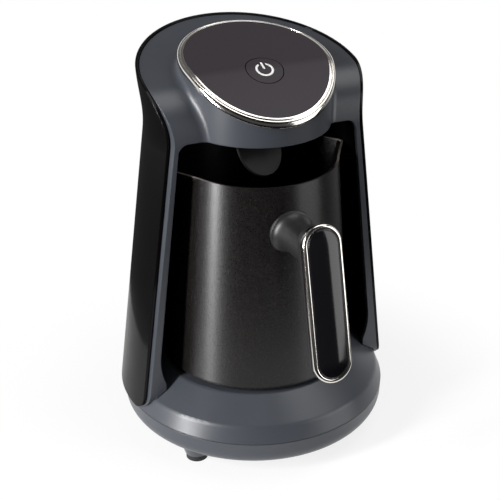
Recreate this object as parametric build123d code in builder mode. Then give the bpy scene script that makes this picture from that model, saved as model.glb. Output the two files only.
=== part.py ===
"""Electric turkish coffee maker: one pot on a round heated base, under a sloping control head.

Frame: millimetres, +Z up, +X to the right, the handle points along -Y.
The origin is on the axis of the round base, at the level of the table.
"""
from build123d import *
from math import atan, cos, degrees, radians, sin, tan
import os

os.makedirs("parts", exist_ok=True)

# ---------------------------------------------------------------- driving dimensions
far = 120.0                     # reach of the cutting profiles, past every side of the machine
gap = 0.3                       # clearance between moulded pieces that seat on each other

# base
base_radius = 76.5              # at the seam of tray and cover
seam_height = 23.8
tray_height = 8.2               # underside of the tray above the table
tray_corner_radius = 9.4        # round foot of the tray's side
base_wall = 2.4
foot_x = 0.66 * base_radius
foot_y = 0.484 * base_radius
foot_radius = 6.1
foot_height = 3.4
stub_radius = 9.2               # conical stub of the tray, at its root
crease_radius = base_radius - 3.5   # soft crease between the cover's side and its cone
crease_height = 32.4
cover_top_height = 43.6
vent_radius = 22.0              # ring of slots in the tray
vent_length = 16.0
vent_width = 2.6
vent_count = 8

# outer shell: a cone that flares a little at its rim
shell_foot_z = 25.2
shell_foot_radius = base_radius + 2.1
shell_neck_z = 178.5
shell_neck_radius = base_radius - 16.8
shell_waist_z = 191.0
shell_waist_radius = shell_neck_radius - 0.3
shell_flare_z = 208.0
shell_flare_radius = shell_waist_radius + 2.1
shell_end_z = 232.0
shell_end_radius = shell_waist_radius + 2.9
shell_wall = 1.6
shell_front_y = -19.5
shell_corner_radius = 9.0       # lower front corner of each arm
shoulder_radius = 29.0
rim_z = 208.6                   # height of the shell's rim over the base axis
deck_angle = 14.8               # slope of the rim and deck, rising to the back

# front frame: deck, drum and arm bands in one moulding
frame_wall = 2.4
band_proud = 2.6                # band in front of the shell's edge
deck_drop = 0.4                 # deck below the shell's rim
groove = 0.5                    # between the frame and the inside of the shell
skirt_wall = 1.6                # skirt and returns inside the shell
skirt_depth = 12.0              # skirt of the deck inside the shell
band_depth = 9.0                # return of each arm band along the shell
flare_reach = 4.6               # each arm band widens at its foot, towards the pot
flare_top_z = 61.0
flare_foot_z = 42.0

# bay round the pot
bay_floor_z = 30.0
bay_top_z = 182.3               # underside of the head
bay_half_width = base_radius - 10.1  # at bay_width_z
bay_width_z = 45.0
bay_side_slope = 0.117          # loss of half width for each mm of height
bay_back_low = base_radius - 18.0   # reach of the bay behind the pot's axis, at bay_width_z
bay_back_high = bay_back_low - 8.5  # the same under the head
bay_corner_radius = 6.0
bay_wall = 1.8

# head drum and its sloping top
drum_radius = shell_neck_radius - 19.9
drum_y = -4.1
drum_wall = 2.2
drum_root_radius = 4.5          # fillet between the drum and the deck
top_y = -9.0                    # the top runs straight behind this line
top_z = 216.34
top_angle = 13.5
bend_radius = 26.0              # a short bend in front of that line
bend_angle = 28.4               # slope where the bend ends
nose_radius = 400.0             # from there the top falls almost straight to the front
ring_drop = 3.2                 # the drum's own top edge, below the panel's face
shelf_drop = 4.9                # shelf of the frame below the panel's face
shelf_thickness = 2.2
ring_proud = 1.1                # ring outside the drum
ring_skirt_proud = 1.7          # lower step of the ring
ring_skirt_drop = 1.7
ring_edge_radius = 1.3
panel_half_width = drum_radius - 1.9
panel_half_length = drum_radius - 1.3
panel_y = drum_y - 0.25
panel_thickness = 1.9
panel_gap = 0.12
panel_ledge = 3.0

# power button, in a plane of its own on the sloping top
button_y = -14.7
button_radius = 9.8
button_gap = 0.5
button_travel = 0.8
button_thickness = 3.2
button_flange_radius = 11.3
button_flange_thickness = 0.9
sign_radius = 4.9
sign_line = 1.2
sign_depth = 0.4
stem_radius = 2.4
switch_size = 6.2
switch_height = 4.2
board_thickness = 1.6
board_depth = 13.0              # switch board's top below the button's face
board_width = 34.0
board_length = 24.0
buzzer_radius = 6.0
buzzer_height = 6.5

# sensor window under the head
head_plate_z = bay_top_z
head_plate_thickness = 2.0
window_radius = 15.2
window_thickness = 1.6
window_x = -8.0
window_y = -27.2
window_z = 176.9
window_turn = 25.1              # its face looks this far round from the front
window_tilt = 30.5              # and this far up
sensor_board_width = 26.0
sensor_board_length = 18.0
sensor_height = 3.0

# pot
pot_y = -4.0
pot_gap = 0.3                   # above the hot plate
pot_bottom_radius = bay_half_width - 12.8
pot_rim_radius = pot_bottom_radius - 8.4
pot_rim_z = 162.5
pot_wall = 1.2
pot_floor = 2.4
pot_bottom_edge = 2.5
spout_start_z = 148.0
spout_tip_radius = 5.0
spout_reach = pot_rim_radius + 6.8  # tip of each spout from the pot's axis
spout_rise = 1.4

# hot plate and heater
cover_top_radius = pot_bottom_radius + 3.4   # outer edge of the cover's flat ring under the pot
plate_radius = pot_bottom_radius - 4.0
plate_proud = 1.4               # above the cover's top
plate_thickness = 6.2
plate_flange_radius = plate_radius + 3.4
plate_flange_thickness = 2.0
plate_gap = 0.5                 # round the plate in the cover's hole
element_ring_radius = plate_radius - 14.6
element_width = 6.8             # the element's tube is pressed flat on the plate
element_height = 5.4
element_open_angle = 50.0       # gap between the element's two ends
terminal_length = 10.4
thermostat_radius = 9.0
thermostat_height = 9.0
leaf_length = 44.0              # leaf that holds the thermostat against the plate
leaf_width = 8.0
leaf_thickness = 1.0
fuse_y = 20.0
fuse_length = 12.0
fuse_radius = 2.1
shield_radius = plate_flange_radius + 1.6

# pot handle
boss_z = 137.0
boss_radius = 12.0
neck_radius = 8.4
neck_reach = 10.0               # the boss narrows to its neck this far from the pot
grip_reach = 43.4               # middle of the grip's face from the pot, at the boss
grip_z = 116.35
grip_lean = 14.9                # the grip's lower end stands out
grip_length = 82.0
grip_width = 21.5
grip_thickness = 8.0
grip_floor = 2.6                # behind the hollow of the grip
trim_depth = 4.2
trim_width = 2.4
insert_depth = 2.4
insert_gap = 0.1
insert_proud = 0.3              # insert in front of the trim
trim_edge_radius = 1.0

# electrics
board_x = 62.0
board_y = 44.0
board_z = 15.0                  # power board's underside
post_radius = 3.2
screw_radius = 1.5
screw_head_radius = 2.9
harness_width = 5.0             # flat cable
harness_thickness = 1.6
gland_radius = 5.0
gland_bore = 2.6
gland_length = 11.5
gland_z = 17.0
gland_inner_y = base_radius - 9.5
harness_x = 14.0                # the harness climbs behind the bay, beside the middle
harness_start_y = 16.0
harness_low_y = pot_y + bay_back_low + bay_wall + 4.7
harness_high_y = pot_y + bay_back_high + bay_wall + 3.2
harness_bend_z = 54.4
harness_slot = 3.4
harness_top_z = 198.3
harness_end_y = -7.0
boss_post_radius = 3.8          # screw posts of the base cover
relay_x = -18.0
relay_y = 10.0
relay_width = 15.0
relay_length = 12.0
capacitor_x = 18.0
capacitor_y = -10.0
capacitor_radius = 4.0
parts_room = 2.8                # between the parts on the board and the heat shield
block_x = -6.0                  # terminal block behind the power board
block_y = base_radius - 24.5
block_width = 24.0
block_length = 11.0
block_height = 10.0
block_pitch = 8.0

# ---------------------------------------------------------------- sizes that follow
deck_slope = tan(radians(deck_angle))
frame_front_y = shell_front_y - band_proud
plate_top_z = cover_top_height + plate_proud
plate_bottom_z = plate_top_z - plate_thickness
pot_bottom_z = plate_top_z + pot_gap
bay_back_slope = (bay_back_low - bay_back_high) / (bay_top_z - bay_width_z)
pot_taper = (pot_bottom_radius - pot_rim_radius) / (pot_rim_z - pot_bottom_z)
bend_end_y = top_y - bend_radius * (sin(radians(bend_angle)) - sin(radians(top_angle)))
bend_end_z = top_z - bend_radius * (cos(radians(top_angle)) - cos(radians(bend_angle)))
front_plane = Plane.XZ
side_plane = Plane.YZ


def top_height(y):
    """Height of the control panel's face: straight at the back, a short bend, then nearly straight."""
    if y >= top_y:
        return top_z + (y - top_y) * tan(radians(top_angle))
    if y >= bend_end_y:
        turned = sin(radians(top_angle)) + (top_y - y) / bend_radius
        return top_z - bend_radius * (cos(radians(top_angle)) - (1 - turned**2) ** 0.5)
    turned = sin(radians(bend_angle)) + (bend_end_y - y) / nose_radius
    return bend_end_z - nose_radius * (cos(radians(bend_angle)) - (1 - turned**2) ** 0.5)


def shell_radius(z):
    """Outer radius of the shell's cone at a height."""
    share = (z - shell_foot_z) / (shell_neck_z - shell_foot_z)
    return shell_foot_radius + share * (shell_neck_radius - shell_foot_radius)


def pot_radius(z):
    """Outer radius of the pot's cone at a height."""
    return pot_bottom_radius - (z - pot_bottom_z) * pot_taper


def bay_width(z):
    """Half width of the bay between the arms at a height."""
    return bay_half_width - (z - bay_width_z) * bay_side_slope


# ---------------------------------------------------------------- shared profiles
def shell_form(inset, bottom=shell_foot_z):
    """Solid inside the shell's outer surface, drawn in by an inset."""
    with BuildPart() as form:
        with BuildSketch(front_plane):
            with BuildLine():
                Polyline(
                    (shell_radius(bottom) - inset, bottom),
                    (0, bottom),
                    (0, shell_end_z),
                    (shell_end_radius - inset, shell_end_z),
                )
                Spline(
                    (shell_end_radius - inset, shell_end_z),
                    (shell_flare_radius - inset, shell_flare_z),
                    (shell_waist_radius - inset, shell_waist_z),
                    (shell_neck_radius - inset, shell_neck_z),
                    tangents=((0, -1), (shell_foot_radius - shell_neck_radius, shell_foot_z - shell_neck_z)),
                )
                Line((shell_neck_radius - inset, shell_neck_z), (shell_radius(bottom) - inset, bottom))
            make_face()
        revolve(axis=Axis.Z)
    return form.part


def side_profile(front, rim, bottom, corner, shoulder):
    """Side view of the machine's body: upright front, round shoulder, top that rises to the back."""
    with BuildPart() as form:
        with BuildSketch(side_plane):
            with BuildLine():
                Polyline(
                    (front, bottom),
                    (front, rim + front * deck_slope),
                    (far, rim + far * deck_slope),
                    (far, bottom),
                    close=True,
                )
            make_face()
            upper = vertices().filter_by_position(Axis.X, front - 1, front + 1).sort_by(Axis.Y)[-1]
            fillet(upper, shoulder)
            if corner > 0:
                lower = vertices().filter_by_position(Axis.X, front - 1, front + 1).sort_by(Axis.Y)[0]
                fillet(lower, corner)
        extrude(amount=far, both=True)
    return form.part


def below_top(drop):
    """Everything in the head under the panel's face, lowered by a drop."""
    nose_y = drum_y - drum_radius - 4
    bend_middle_y = (top_y + bend_end_y) / 2
    nose_middle_y = (bend_end_y + nose_y) / 2
    bottom = bay_top_z - 9
    with BuildPart() as form:
        with BuildSketch(side_plane):
            with BuildLine():
                Polyline(
                    (top_y, top_z - drop),
                    (far, top_height(far) - drop),
                    (far, bottom),
                    (nose_y, bottom),
                    (nose_y, top_height(nose_y) - drop),
                )
                ThreePointArc(
                    (nose_y, top_height(nose_y) - drop),
                    (nose_middle_y, top_height(nose_middle_y) - drop),
                    (bend_end_y, bend_end_z - drop),
                )
                ThreePointArc(
                    (bend_end_y, bend_end_z - drop),
                    (bend_middle_y, top_height(bend_middle_y) - drop),
                    (top_y, top_z - drop),
                )
            make_face()
        extrude(amount=far, both=True)
    return form.part


def bay_section(z, outset):
    """Plan of the pot bay at a height: straight sides in front, half an ellipse behind the pot."""
    width = bay_width(z) + outset
    back = bay_back_low - (z - bay_width_z) * bay_back_slope + outset
    with BuildSketch(Plane.XY.offset(z)) as section:
        with BuildLine():
            Polyline((-width, pot_y), (-width, -far), (width, -far), (width, pot_y))
            EllipticalCenterArc((0, pot_y), width, back, start_angle=0, arc_size=180)
        make_face()
    return section.sketch


def bay_form(outset):
    """Space of the pot bay, grown by an outset, with a rounded ceiling edge."""
    top = bay_top_z + outset
    with BuildPart() as form:
        add(bay_section(bay_floor_z, outset))
        add(bay_section(top, outset))
        loft(ruled=True)
        ceiling = form.faces().sort_by(Axis.Z)[-1]
        front_edge = ceiling.edges().sort_by(Axis.Y)[0]
        fillet([edge for edge in ceiling.edges() if edge != front_edge], bay_corner_radius + outset)
    return form.part


def cover_form(outset):
    """Solid under the base cover's outer surface, grown by an outset."""
    with BuildPart() as form:
        with BuildSketch(front_plane):
            with BuildLine():
                Polyline(
                    (0, seam_height),
                    (base_radius + outset, seam_height),
                    (crease_radius + outset, crease_height + outset / 2),
                    (cover_top_radius + outset / 2, cover_top_height + outset),
                    (0, cover_top_height + outset),
                    close=True,
                )
            make_face()
            fillet(vertices().group_by(Axis.X)[-2], 4.0)
            fillet(vertices().group_by(Axis.X)[-4], 3.0)
        revolve(axis=Axis.Z)
    return form.part


def pot_form(inset, bottom):
    """Solid of the pot inside an inset: a cone with a pouring spout on each side."""
    top = pot_rim_z + spout_rise + 0.4
    with BuildPart() as form:
        with BuildSketch(Plane((0, pot_y, bottom))):
            Circle(pot_radius(bottom) - inset)
        with BuildSketch(Plane((0, pot_y, top))):
            Circle(pot_radius(top) - inset)
        loft(ruled=True)
        for height, reach in ((spout_start_z, pot_radius(spout_start_z) + 0.3), (top, spout_reach + 0.5)):
            with BuildSketch(Plane((0, pot_y, height))):
                Circle(pot_radius(height) - inset)
                with Locations((reach - spout_tip_radius, 0), (spout_tip_radius - reach, 0)):
                    Circle(spout_tip_radius - inset)
                make_hull()
        loft(ruled=True)
    return form.part


neck_y = pot_y - pot_radius(boss_z) - neck_reach
grip_y = pot_y - pot_radius(boss_z) - grip_reach
grip_plane = Plane(
    origin=(0, grip_y, grip_z),
    x_dir=(1, 0, 0),
    z_dir=(0, -cos(radians(grip_lean)), sin(radians(grip_lean))),
)
button_angle = degrees(atan((top_height(button_y + 6) - top_height(button_y - 6)) / 12))
button_plane = Plane(
    origin=(0, button_y, top_height(button_y)),
    x_dir=(1, 0, 0),
    z_dir=(0, -sin(radians(button_angle)), cos(radians(button_angle))),
)
window_plane = Plane(
    origin=(window_x, window_y, window_z),
    x_dir=(cos(radians(window_turn)), sin(radians(window_turn)), 0),
    z_dir=(
        sin(radians(window_turn)) * cos(radians(window_tilt)),
        -cos(radians(window_turn)) * cos(radians(window_tilt)),
        sin(radians(window_tilt)),
    ),
)
foot_places = [(foot_x, foot_y), (-foot_x, foot_y), (-foot_x, -foot_y), (foot_x, -foot_y)]

# ---------------------------------------------------------------- base tray
tray_floor_z = tray_height + base_wall
with BuildPart() as base_tray:
    with BuildSketch(front_plane):
        with BuildLine():
            Polyline(
                (0, tray_height),
                (base_radius - 0.5, tray_height),
                (base_radius, seam_height - gap),
                (0, seam_height - gap),
                close=True,
            )
        make_face()
        fillet(vertices().sort_by_distance((base_radius - 0.5, tray_height))[0], tray_corner_radius)
    revolve(axis=Axis.Z)
    with BuildSketch(front_plane):
        with BuildLine():
            Polyline(
                (0, tray_floor_z),
                (base_radius - base_wall - 6.0, tray_floor_z),
                (base_radius - base_wall - 0.4, tray_floor_z + 5.6),
                (base_radius - base_wall, seam_height),
                (0, seam_height),
                close=True,
            )
        make_face()
    revolve(axis=Axis.Z, mode=Mode.SUBTRACT)
    with Locations(*[(x, y, foot_height) for x, y in foot_places]):
        Cone(
            foot_radius + 0.6,
            stub_radius,
            tray_floor_z - foot_height,
            align=(Align.CENTER, Align.CENTER, Align.MIN),
        )
    with Locations(*[(x, y, foot_height) for x, y in foot_places]):
        Cylinder(
            screw_head_radius + 0.4,
            tray_floor_z - foot_height - base_wall,
            align=(Align.CENTER, Align.CENTER, Align.MIN),
            mode=Mode.SUBTRACT,
        )
        Cylinder(
            screw_radius + 0.3,
            tray_floor_z,
            align=(Align.CENTER, Align.CENTER, Align.MIN),
            mode=Mode.SUBTRACT,
        )
    with BuildSketch(Plane.XY.offset(tray_height)):
        with PolarLocations(vent_radius, vent_count):
            Rectangle(vent_length, vent_width)
    extrude(amount=base_wall, mode=Mode.SUBTRACT)
    with BuildSketch(Plane.XY.offset(tray_floor_z)):
        with GridLocations(board_x - 8, board_y - 8, 2, 2):
            Rectangle(post_radius * 1.6, post_radius * 1.6)
    extrude(amount=board_z - tray_floor_z - gap)
    with Locations(Plane.XZ.offset(-base_radius).location * Location((0, gland_z, 0))):
        Cylinder(gland_radius - 1.0, 12.0, mode=Mode.SUBTRACT)
base_tray.part.label = "base_tray"
export_step(base_tray.part, "parts/base_tray.step")

# ---------------------------------------------------------------- rubber feet
with BuildPart() as rubber_feet:
    with Locations(*[(x, y, 0) for x, y in foot_places]):
        Cylinder(foot_radius, foot_height - 0.1, align=(Align.CENTER, Align.CENTER, Align.MIN))
rubber_feet.part.label = "rubber_feet"
export_step(rubber_feet.part, "parts/rubber_feet.step")

# ---------------------------------------------------------------- outer shell
shell_side = side_profile(shell_front_y, rim_z, shell_foot_z, shell_corner_radius, shoulder_radius)
with BuildPart() as outer_shell:
    add(shell_form(0))
    add(shell_side, mode=Mode.INTERSECT)
    add(shell_form(shell_wall, bottom=shell_foot_z - 5), mode=Mode.SUBTRACT)
outer_shell.part.label = "outer_shell"
export_step(outer_shell.part, "parts/outer_shell.step")

# ---------------------------------------------------------------- head: outer form of the front frame
shell_inside = shell_wall + groove
frame_rim_z = rim_z - deck_drop
frame_body = shell_form(shell_inside)
frame_side = side_profile(
    frame_front_y, frame_rim_z, shell_foot_z, shell_corner_radius + band_proud, shoulder_radius
)
head_zone = Plane.XY.offset(bay_top_z)
ring_seat = below_top(ring_drop)
shelf_top = below_top(shelf_drop)
shelf_bottom = below_top(shelf_drop + shelf_thickness)

with BuildPart() as drum_form:
    with Locations(Location((0, drum_y, bay_top_z), (0, 0, -90))):
        Cylinder(drum_radius, far, align=(Align.CENTER, Align.CENTER, Align.MIN))
    add(ring_seat, mode=Mode.INTERSECT)

with BuildPart() as head_form:
    add(frame_body)
    add(frame_side, mode=Mode.INTERSECT)
    split(bisect_by=head_zone, keep=Keep.TOP)
    add(drum_form.part)
drum_foot_edges = head_form.edges().filter_by(
    lambda edge: edge.geom_type != GeomType.LINE
    and edge.center().Z > bay_top_z + 1
    and abs((edge.position_at(0.5) - Vector(0, drum_y, edge.position_at(0.5).Z)).length - drum_radius) < 0.01
    and abs((edge.position_at(0.1) - Vector(0, drum_y, edge.position_at(0.1).Z)).length - drum_radius) < 0.01
    and edge.position_at(0.5).Z < top_height(edge.position_at(0.5).Y) - ring_drop - 1
)
head_shape = head_form.part.fillet(drum_root_radius, drum_foot_edges)

with BuildPart() as arm_form:
    add(frame_body)
    add(frame_side, mode=Mode.INTERSECT)
    split(bisect_by=head_zone, keep=Keep.BOTTOM)

# ---------------------------------------------------------------- front frame
hollow_side = side_profile(
    frame_front_y + frame_wall, frame_rim_z - frame_wall, shell_foot_z - 5, 0, shoulder_radius
)
behind_skirt = side_profile(frame_front_y + band_depth, frame_rim_z - skirt_depth, shell_foot_z - 5, 0, 20.0)
bay_space = bay_form(0)
with BuildPart() as drum_hollow:
    with Locations((0, drum_y, bay_top_z - 8)):
        Cylinder(drum_radius - drum_wall, far, align=(Align.CENTER, Align.CENTER, Align.MIN))
    add(shelf_bottom, mode=Mode.INTERSECT)
with BuildPart() as drum_well:
    with Locations((0, drum_y, bay_top_z + 9)):
        Cylinder(drum_radius - drum_wall, far, align=(Align.CENTER, Align.CENTER, Align.MIN))
    add(shelf_top, mode=Mode.SUBTRACT)
with BuildPart() as frame_hollow:
    add(shell_form(shell_inside + skirt_wall, bottom=shell_foot_z - 5))
    add(hollow_side, mode=Mode.INTERSECT)
with BuildPart() as shelf_form:
    with Locations((0, drum_y, bay_top_z + 9)):
        Cylinder(drum_radius - drum_wall + 0.5, far, align=(Align.CENTER, Align.CENTER, Align.MIN))
    add(shelf_top, mode=Mode.INTERSECT)
    add(shelf_bottom, mode=Mode.SUBTRACT)
post_x = drum_radius - 10.8
post_places = [(post_x, drum_y + 16), (-post_x, drum_y + 16), (-post_x, drum_y - 16), (post_x, drum_y - 16)]
with BuildPart() as head_posts:
    with BuildSketch(Plane.XY.offset(head_plate_z + head_plate_thickness + gap)):
        with Locations(*post_places):
            RegularPolygon(post_radius + 0.4, 6)
    extrude(amount=40.0)
    add(below_top(shelf_drop + 1), mode=Mode.INTERSECT)
board_plane = button_plane.offset(-board_depth)
board_screw_x = board_width / 2 - 3
board_screw_y = board_length / 2 - 3
board_screw_places = [(board_screw_x, board_screw_y), (-board_screw_x, -board_screw_y)]
with BuildPart() as board_posts:
    with BuildSketch(board_plane.offset(gap)):
        with GridLocations(board_width - 6, board_length - 6, 2, 2):
            Rectangle(3.6, 3.6)
    extrude(amount=14.0)
    add(below_top(shelf_drop + 1), mode=Mode.INTERSECT)
with BuildPart() as foot_flares:
    with BuildSketch(front_plane.offset(-frame_front_y)):
        for side in (-1, 1):
            with BuildLine():
                ThreePointArc(
                    (side * bay_width(flare_top_z), flare_top_z),
                    (side * (bay_width(flare_foot_z + 6) - 0.45 * flare_reach), flare_foot_z + 6),
                    (side * (bay_width(flare_foot_z) - flare_reach), flare_foot_z),
                )
                Polyline(
                    (side * (bay_width(flare_foot_z) - flare_reach), flare_foot_z),
                    (side * (bay_width(flare_foot_z) - flare_reach), bay_floor_z),
                    (side * (bay_width(flare_foot_z) + 2), bay_floor_z),
                    (side * (bay_width(flare_top_z) + 2), flare_top_z),
                    (side * bay_width(flare_top_z), flare_top_z),
                )
            make_face()
    extrude(amount=-frame_wall)
    add(frame_body, mode=Mode.INTERSECT)
with BuildPart() as front_frame:
    add(head_shape)
    add(arm_form.part)
    add(frame_hollow.part, mode=Mode.SUBTRACT)
    add(behind_skirt, mode=Mode.SUBTRACT)
    add(bay_space, mode=Mode.SUBTRACT)
    add(drum_hollow.part, mode=Mode.SUBTRACT)
    add(shelf_form.part)
    add(drum_well.part, mode=Mode.SUBTRACT)
    add(foot_flares.part)
    add(cover_form(gap), mode=Mode.SUBTRACT)
    with BuildSketch(button_plane.offset(4)):
        Circle(button_flange_radius + 0.6)
    extrude(amount=-14.0, mode=Mode.SUBTRACT)
    add(head_posts.part)
    add(board_posts.part)
    with Locations(*[(x, y, head_plate_z) for x, y in post_places]):
        Cylinder(screw_radius, 14.0, align=(Align.CENTER, Align.CENTER, Align.MIN), mode=Mode.SUBTRACT)
front_frame.part.label = "front_frame"
export_step(front_frame.part, "parts/front_frame.step")

# ---------------------------------------------------------------- cavity wall: lining of the pot bay
with BuildPart() as cavity_wall:
    add(bay_form(bay_wall))
    add(bay_space, mode=Mode.SUBTRACT)
    split(bisect_by=Plane.XY.offset(bay_top_z - gap), keep=Keep.BOTTOM)
    add(side_profile(frame_front_y + frame_wall + gap, frame_rim_z, 20.0, 0, 2.0), mode=Mode.INTERSECT)
    add(cover_form(gap), mode=Mode.SUBTRACT)
cavity_wall.part.label = "cavity_wall"
export_step(cavity_wall.part, "parts/cavity_wall.step")

# ---------------------------------------------------------------- head plate: underside of the head
slot_plane = window_plane.offset(-window_thickness / 2)
with BuildPart() as head_plate:
    add(bay_section(head_plate_z, bay_wall))
    extrude(amount=head_plate_thickness)
    split(bisect_by=Plane.XZ.offset(-frame_front_y - frame_wall - 0.8), keep=Keep.BOTTOM)
    with Locations((0, drum_y, head_plate_z)):
        Cylinder(
            drum_radius - drum_wall - gap,
            head_plate_thickness,
            align=(Align.CENTER, Align.CENTER, Align.MIN),
        )
    with Locations(*[(x, y, head_plate_z) for x, y in post_places]):
        Cylinder(
            screw_radius + 0.3,
            head_plate_thickness,
            align=(Align.CENTER, Align.CENTER, Align.MIN),
            mode=Mode.SUBTRACT,
        )
    with BuildSketch(slot_plane):
        Circle(window_radius + gap)
    extrude(amount=window_thickness / 2 + gap, both=True, mode=Mode.SUBTRACT)
head_plate.part.label = "head_plate"
export_step(head_plate.part, "parts/head_plate.step")

# ---------------------------------------------------------------- sensor window and its board
with BuildPart() as sensor_window:
    with BuildSketch(window_plane):
        Circle(window_radius)
    extrude(amount=-window_thickness)
    chamfer(sensor_window.edges(), 0.35)
sensor_window.part.label = "sensor_window"
export_step(sensor_window.part, "parts/sensor_window.step")

sensor_board_z = head_plate_z + head_plate_thickness + 2.0
with BuildPart() as sensor_board:
    with BuildSketch(Plane.XY.offset(sensor_board_z)):
        with Locations((window_x, pot_y + 2)):
            Rectangle(sensor_board_width, sensor_board_length)
    extrude(amount=board_thickness)
    with BuildSketch(Plane.XY.offset(sensor_board_z + board_thickness)):
        with Locations((window_x, pot_y - 2)):
            Rectangle(6, 5)
    extrude(amount=sensor_height)
    with BuildSketch(Plane.XY.offset(head_plate_z + head_plate_thickness + 0.1)):
        with Locations((window_x - 10, pot_y + 8), (window_x + 10, pot_y + 8), (window_x, pot_y - 4)):
            Rectangle(3, 3)
    extrude(amount=2.0 - 0.1)
sensor_board.part.label = "sensor_board"
export_step(sensor_board.part, "parts/sensor_board.step")

# ---------------------------------------------------------------- trim ring round the control panel
panel_top = below_top(0)
panel_seat = below_top(panel_thickness + 0.1)
plug_foot = below_top(shelf_drop - gap)
ring_foot = below_top(ring_drop - 0.1)


def ring_top_edge(edge):
    """True for the edges where the panel's face meets the outside of the ring."""
    middle = edge.position_at(0.5)
    reach = (middle - Vector(0, drum_y, middle.Z)).length
    return abs(reach - drum_radius - ring_proud) < 0.01 and abs(middle.Z - top_height(middle.Y)) < 0.1


with BuildPart() as ring_inner:
    with Locations((0, drum_y, bay_top_z)):
        Cylinder(drum_radius - drum_wall - gap, far, align=(Align.CENTER, Align.CENTER, Align.MIN))
    add(panel_top, mode=Mode.INTERSECT)
    add(plug_foot, mode=Mode.SUBTRACT)
with BuildPart() as panel_well:
    with BuildSketch(Plane.XY.offset(bay_top_z)):
        with Locations((0, panel_y)):
            Ellipse(panel_half_width + panel_gap, panel_half_length + panel_gap)
    extrude(amount=far)
    add(panel_seat, mode=Mode.SUBTRACT)
with BuildPart() as ring_skirt:
    with Locations((0, drum_y, bay_top_z)):
        Cylinder(drum_radius + ring_skirt_proud, far, align=(Align.CENTER, Align.CENTER, Align.MIN))
    add(below_top(ring_skirt_drop), mode=Mode.INTERSECT)
with BuildPart() as trim_ring:
    with Locations((0, drum_y, bay_top_z)):
        Cylinder(drum_radius + ring_proud, far, align=(Align.CENTER, Align.CENTER, Align.MIN))
    add(panel_top, mode=Mode.INTERSECT)
    fillet(trim_ring.edges().filter_by(ring_top_edge), ring_edge_radius)
    add(ring_skirt.part)
    add(ring_foot, mode=Mode.SUBTRACT)
    add(ring_inner.part)
    add(panel_well.part, mode=Mode.SUBTRACT)
    with BuildSketch(Plane.XY.offset(bay_top_z)):
        with Locations((0, panel_y)):
            Ellipse(panel_half_width - panel_ledge, panel_half_length - panel_ledge)
    extrude(amount=far, mode=Mode.SUBTRACT)
trim_ring.part.label = "trim_ring"
export_step(trim_ring.part, "parts/trim_ring.step")

# ---------------------------------------------------------------- control panel
with BuildPart() as control_panel:
    with BuildSketch(Plane.XY.offset(bay_top_z)):
        with Locations((0, panel_y)):
            Ellipse(panel_half_width, panel_half_length)
    extrude(amount=far)
    add(panel_top, mode=Mode.INTERSECT)
    add(below_top(panel_thickness), mode=Mode.SUBTRACT)
    with BuildSketch(button_plane.offset(8)):
        Circle(button_radius + button_gap)
    extrude(amount=-16, mode=Mode.SUBTRACT)
control_panel.part.label = "control_panel"
export_step(control_panel.part, "parts/control_panel.step")

# ---------------------------------------------------------------- power button and its sign
with BuildPart() as sign_form:
    with BuildSketch(button_plane.offset(-4)):
        Circle(sign_radius)
        Circle(sign_radius - sign_line, mode=Mode.SUBTRACT)
        with Locations((0, sign_radius)):
            Rectangle(sign_line * 3.2, sign_radius * 1.2, mode=Mode.SUBTRACT)
        with Locations((0, sign_radius * 0.62)):
            SlotOverall(sign_radius * 1.15, sign_line, rotation=90)
    extrude(amount=8)
    add(panel_top, mode=Mode.INTERSECT)
with BuildPart() as power_icon:
    add(sign_form.part)
    add(below_top(sign_depth), mode=Mode.SUBTRACT)
power_icon.part.label = "power_icon"
export_step(power_icon.part, "parts/power_icon.step")

with BuildPart() as sign_pocket:
    with BuildSketch(button_plane.offset(-4)):
        Circle(sign_radius + 0.08)
        Circle(sign_radius - sign_line - 0.08, mode=Mode.SUBTRACT)
        with Locations((0, sign_radius)):
            Rectangle(sign_line * 3.2 - 0.16, sign_radius * 1.2 - 0.16, mode=Mode.SUBTRACT)
        with Locations((0, sign_radius * 0.62)):
            SlotOverall(sign_radius * 1.15 + 0.16, sign_line + 0.16, rotation=90)
    extrude(amount=8)
    add(below_top(sign_depth + 0.1), mode=Mode.SUBTRACT)
with BuildPart() as button_cap:
    with BuildSketch(button_plane.offset(-button_thickness - 1.5)):
        Circle(button_radius)
    extrude(amount=10)
    add(panel_top, mode=Mode.INTERSECT)
    with BuildSketch(button_plane.offset(-button_thickness - 1.5)):
        Circle(button_flange_radius)
    extrude(amount=button_flange_thickness)
    with BuildSketch(button_plane.offset(-button_thickness - 1.5)):
        Circle(button_radius - 1.4)
        Circle(stem_radius, mode=Mode.SUBTRACT)
    extrude(amount=1.7, mode=Mode.SUBTRACT)
    with BuildSketch(button_plane.offset(-board_depth + switch_height + 1.4 + button_travel)):
        Circle(stem_radius)
    extrude(amount=4.0)
    add(sign_pocket.part, mode=Mode.SUBTRACT)
button_cap.part.label = "button_cap"
export_step(button_cap.part, "parts/button_cap.step")

# ---------------------------------------------------------------- switch board under the button
with BuildPart() as switch_board:
    with BuildSketch(board_plane.offset(-board_thickness)):
        Rectangle(board_width, board_length)
        with Locations(*board_screw_places):
            Circle(1.3, mode=Mode.SUBTRACT)
    extrude(amount=board_thickness)
switch_board.part.label = "switch_board"
export_step(switch_board.part, "parts/switch_board.step")

with BuildPart() as switch_body:
    with BuildSketch(board_plane.offset(0.05)):
        Rectangle(switch_size, switch_size)
    extrude(amount=switch_height)
    with BuildSketch(board_plane.offset(0.05 + switch_height)):
        Circle(1.7)
    extrude(amount=1.0)
switch_body.part.label = "switch_body"
export_step(switch_body.part, "parts/switch_body.step")

with BuildPart() as status_led:
    with BuildSketch(board_plane.offset(0.05)):
        with Locations((7.5, 0), (-7.5, 0)):
            Rectangle(3.2, 2.8)
    extrude(amount=1.9)
status_led.part.label = "status_led"
export_step(status_led.part, "parts/status_led.step")

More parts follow.
